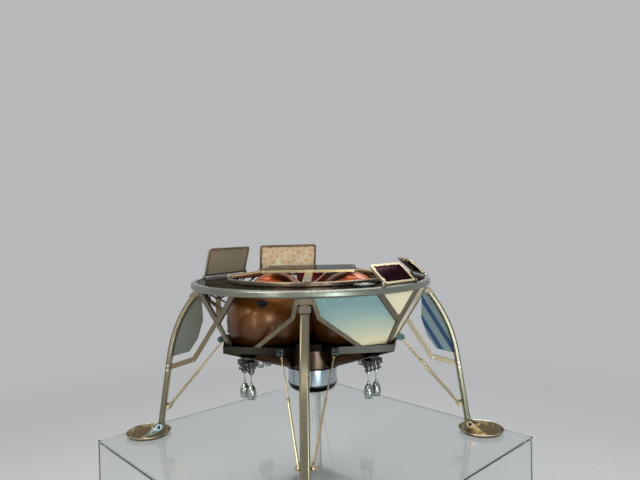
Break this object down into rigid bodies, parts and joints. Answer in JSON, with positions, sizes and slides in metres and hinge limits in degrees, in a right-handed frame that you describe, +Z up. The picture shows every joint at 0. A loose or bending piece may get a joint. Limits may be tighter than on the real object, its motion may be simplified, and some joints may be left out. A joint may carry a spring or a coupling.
{
  "type": "lunar lander display model",
  "caption": "Half-scale display model of a four-legged lunar lander with spherical tanks, hinged top panels and footpads, standing on a clear box plinth.",
  "frame": {"origin": "centre of the plinth's underside, on the floor", "axes": "+Z up, -Y towards the lander's front leg, +X to its right"},
  "size_m": [1.813, 1.813, 1.3186],
  "materials": {
    "clear_acrylic": "clear polished acrylic sheet",
    "pale_metal": "satin champagne-silver paint",
    "bronze_metal": "satin grey-bronze",
    "dark_metal": "dark satin",
    "bright_metal": "polished",
    "dark_gloss": "dark gloss",
    "dark_red": "dark red satin",
    "white_sheet": "white semi-gloss sheet",
    "pale_sheet": "pale sheet with two blue stripes",
    "pad_metal": "satin",
    "copper_foil": "copper-brown gloss",
    "panel_glass": "tinted sheet"
  },
  "bodies": {
    "lander": {"bay_bars": "bronze_metal", "belly": "dark_metal", "centre_tube": "dark_red", "corner_panels": "white_sheet", "deck_lip": "pale_metal", "deck_plate": "dark_gloss", "deck_port": "dark_metal", "engine_casing": "dark_metal", "flap_hinge_ears": "bright_metal", "footpad_1": "pad_metal", "footpad_2": "pad_metal", "footpad_3": "pad_metal", "footpad_4": "pad_metal", "leg_1": "pale_metal", "leg_2": "pale_metal", "leg_3": "pale_metal", "leg_4": "pale_metal", "leg_sleeves": "dark_metal", "main_engine": "bright_metal", "pad_yokes": "bright_metal", "plinth_top": "clear_acrylic", "plinth_walls": "clear_acrylic", "side_panels": "white_sheet", "struts_1": "bright_metal", "struts_2": "bright_metal", "struts_3": "bright_metal", "struts_4": "bright_metal", "tank_1": "copper_foil", "tank_2": "copper_foil", "tank_3": "copper_foil", "tank_4": "copper_foil", "tank_fittings": "dark_metal", "tank_floor": "bronze_metal", "thruster_pair_1": "bright_metal", "thruster_pair_2": "bright_metal", "thruster_pair_3": "bright_metal", "thruster_pair_4": "bright_metal", "top_ring": "pale_metal", "upper_panel": "dark_gloss", "upper_panel_straps": "bronze_metal", "wing_frame_1": "pale_metal", "wing_frame_2": "pale_metal", "wing_frame_3": "pale_metal", "wing_frame_4": "pale_metal", "wing_pane_1": "pale_sheet", "wing_pane_2": "pale_sheet", "wing_pane_3": "pale_sheet", "wing_pane_4": "pale_sheet", "y_frame_1": "bronze_metal", "y_frame_2": "bronze_metal", "y_frame_3": "bronze_metal", "y_frame_4": "bronze_metal"},
    "flap_a": {"flap_frame_a": "bronze_metal", "flap_pane_a": "panel_glass"},
    "flap_b": {"flap_frame_b": "bronze_metal", "flap_pane_b": "panel_glass"},
    "flap_c": {"flap_frame_c": "bronze_metal", "flap_pane_c": "panel_glass"},
    "flap_d": {"flap_frame_d": "bronze_metal", "flap_pane_d": "panel_glass"}
  },
  "joints": [
    {"name": "flap_a_hinge", "type": "hinge", "parent": "lander", "child": "flap_a", "pos_m": [-0.13608, 0.51509, 1.195], "axis": [0.9563, 0.2924, 0], "range_deg": [-32, 63]},
    {"name": "flap_b_hinge", "type": "hinge", "parent": "lander", "child": "flap_b", "pos_m": [-0.41095, 0.2885, 1.195], "axis": [0.4695, 0.8829, 0], "range_deg": [-35, 60]},
    {"name": "flap_c_hinge", "type": "hinge", "parent": "lander", "child": "flap_c", "pos_m": [0.33946, -0.26946, 1.195], "axis": [-0.7071, -0.7071, 0], "range_deg": [-70, 30]},
    {"name": "flap_d_hinge", "type": "hinge", "parent": "lander", "child": "flap_d", "pos_m": [0.47278, 0.15336, 1.195], "axis": [0.1736, -0.9848, 0], "range_deg": [-68, 32]}
  ]
}
